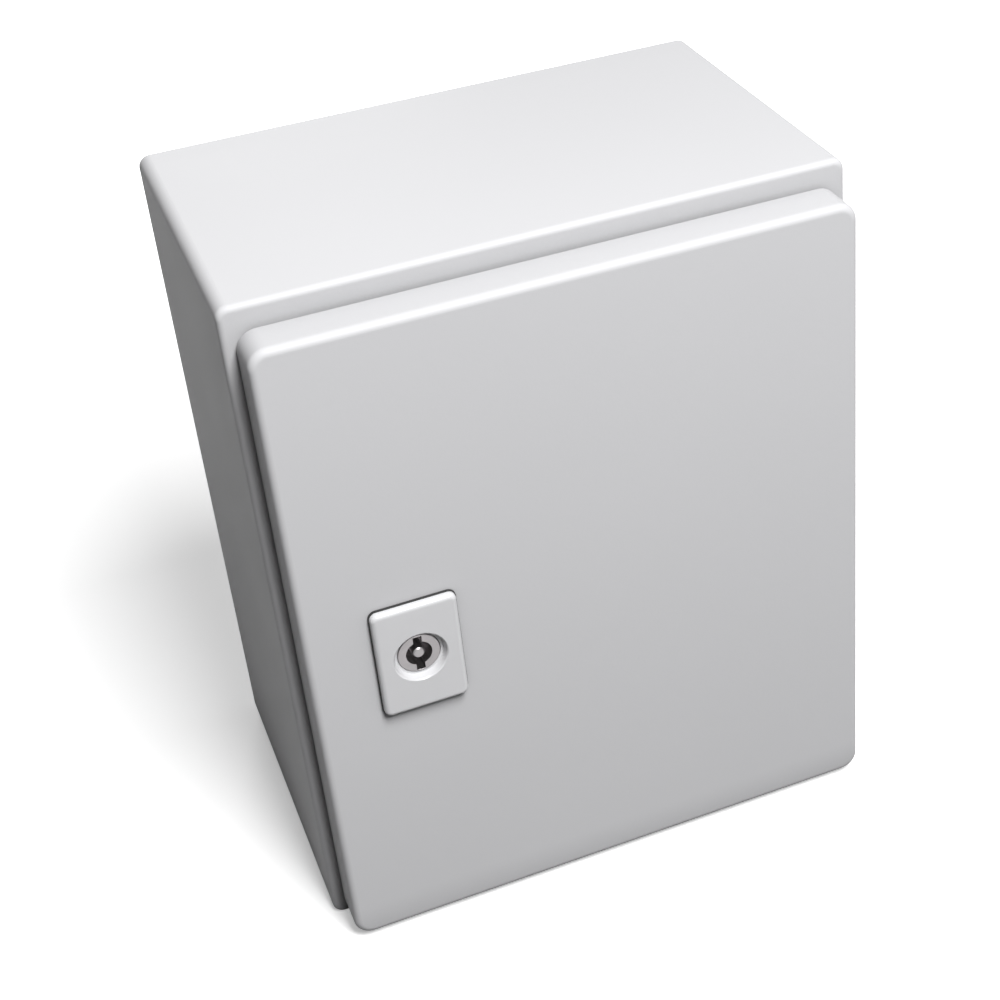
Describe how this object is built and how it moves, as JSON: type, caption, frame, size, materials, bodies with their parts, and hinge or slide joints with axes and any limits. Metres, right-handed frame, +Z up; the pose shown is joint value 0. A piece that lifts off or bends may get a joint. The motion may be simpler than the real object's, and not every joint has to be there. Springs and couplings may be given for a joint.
{
  "type": "steel wall enclosure",
  "caption": "Wall-mounted sheet steel enclosure with a pan door on concealed hinges, quarter-turn double-bit lock, mounting plate and blank gland plate.",
  "frame": {"origin": "centre of the rear wall face, midway between the four wall holes", "axes": "+X to the right seen from the front, +Y into the wall, +Z up"},
  "size_m": [0.25, 0.174, 0.3],
  "materials": {
    "powder_coat": "satin",
    "zinc_plate": "satin",
    "hardware": "satin",
    "hinge_steel": "satin",
    "lock_body": "satin",
    "lock_metal": "satin",
    "foam_seal": "matt",
    "rubber_seal": "matt"
  },
  "bodies": {
    "enclosure_body": {"body_shell": "powder_coat", "rear_panel": "powder_coat", "plate_studs": "hardware", "mounting_plate": "zinc_plate", "plate_washers": "hardware", "plate_nuts": "hardware", "gland_gasket": "foam_seal", "gland_plate": "powder_coat", "gland_studs": "hardware", "gland_washers": "hardware", "gland_nuts": "hardware", "body_earth_stud": "hardware", "body_earth_washer": "hardware", "body_earth_nut": "hardware", "hinge_bracket_upper": "hinge_steel", "hinge_bracket_lower": "hinge_steel"},
    "door": {"door_panel": "powder_coat", "door_seal": "foam_seal", "hinge_ears_upper": "hinge_steel", "hinge_ears_lower": "hinge_steel", "hinge_pins": "hinge_steel", "pin_clips": "hinge_steel", "door_earth_stud": "hardware", "door_earth_washer": "hardware", "door_earth_nut": "hardware", "lock_housing": "lock_body", "lock_seal": "rubber_seal", "lock_nut": "hardware"},
    "lock_rotor": {"lock_insert": "lock_metal", "lock_cam": "hardware", "cam_washer": "hardware", "cam_screw": "hardware"}
  },
  "joints": [
    {"name": "door_hinge", "type": "hinge", "parent": "enclosure_body", "child": "door", "pos_m": [0.114, -0.162, 0], "axis": [0, 0, 1], "range_deg": [0, 130]},
    {"name": "lock_turn", "type": "hinge", "parent": "door", "child": "lock_rotor", "pos_m": [-0.0755, -0.16, -0.007], "axis": [0, 1, 0], "range_deg": [0, 90]}
  ]
}
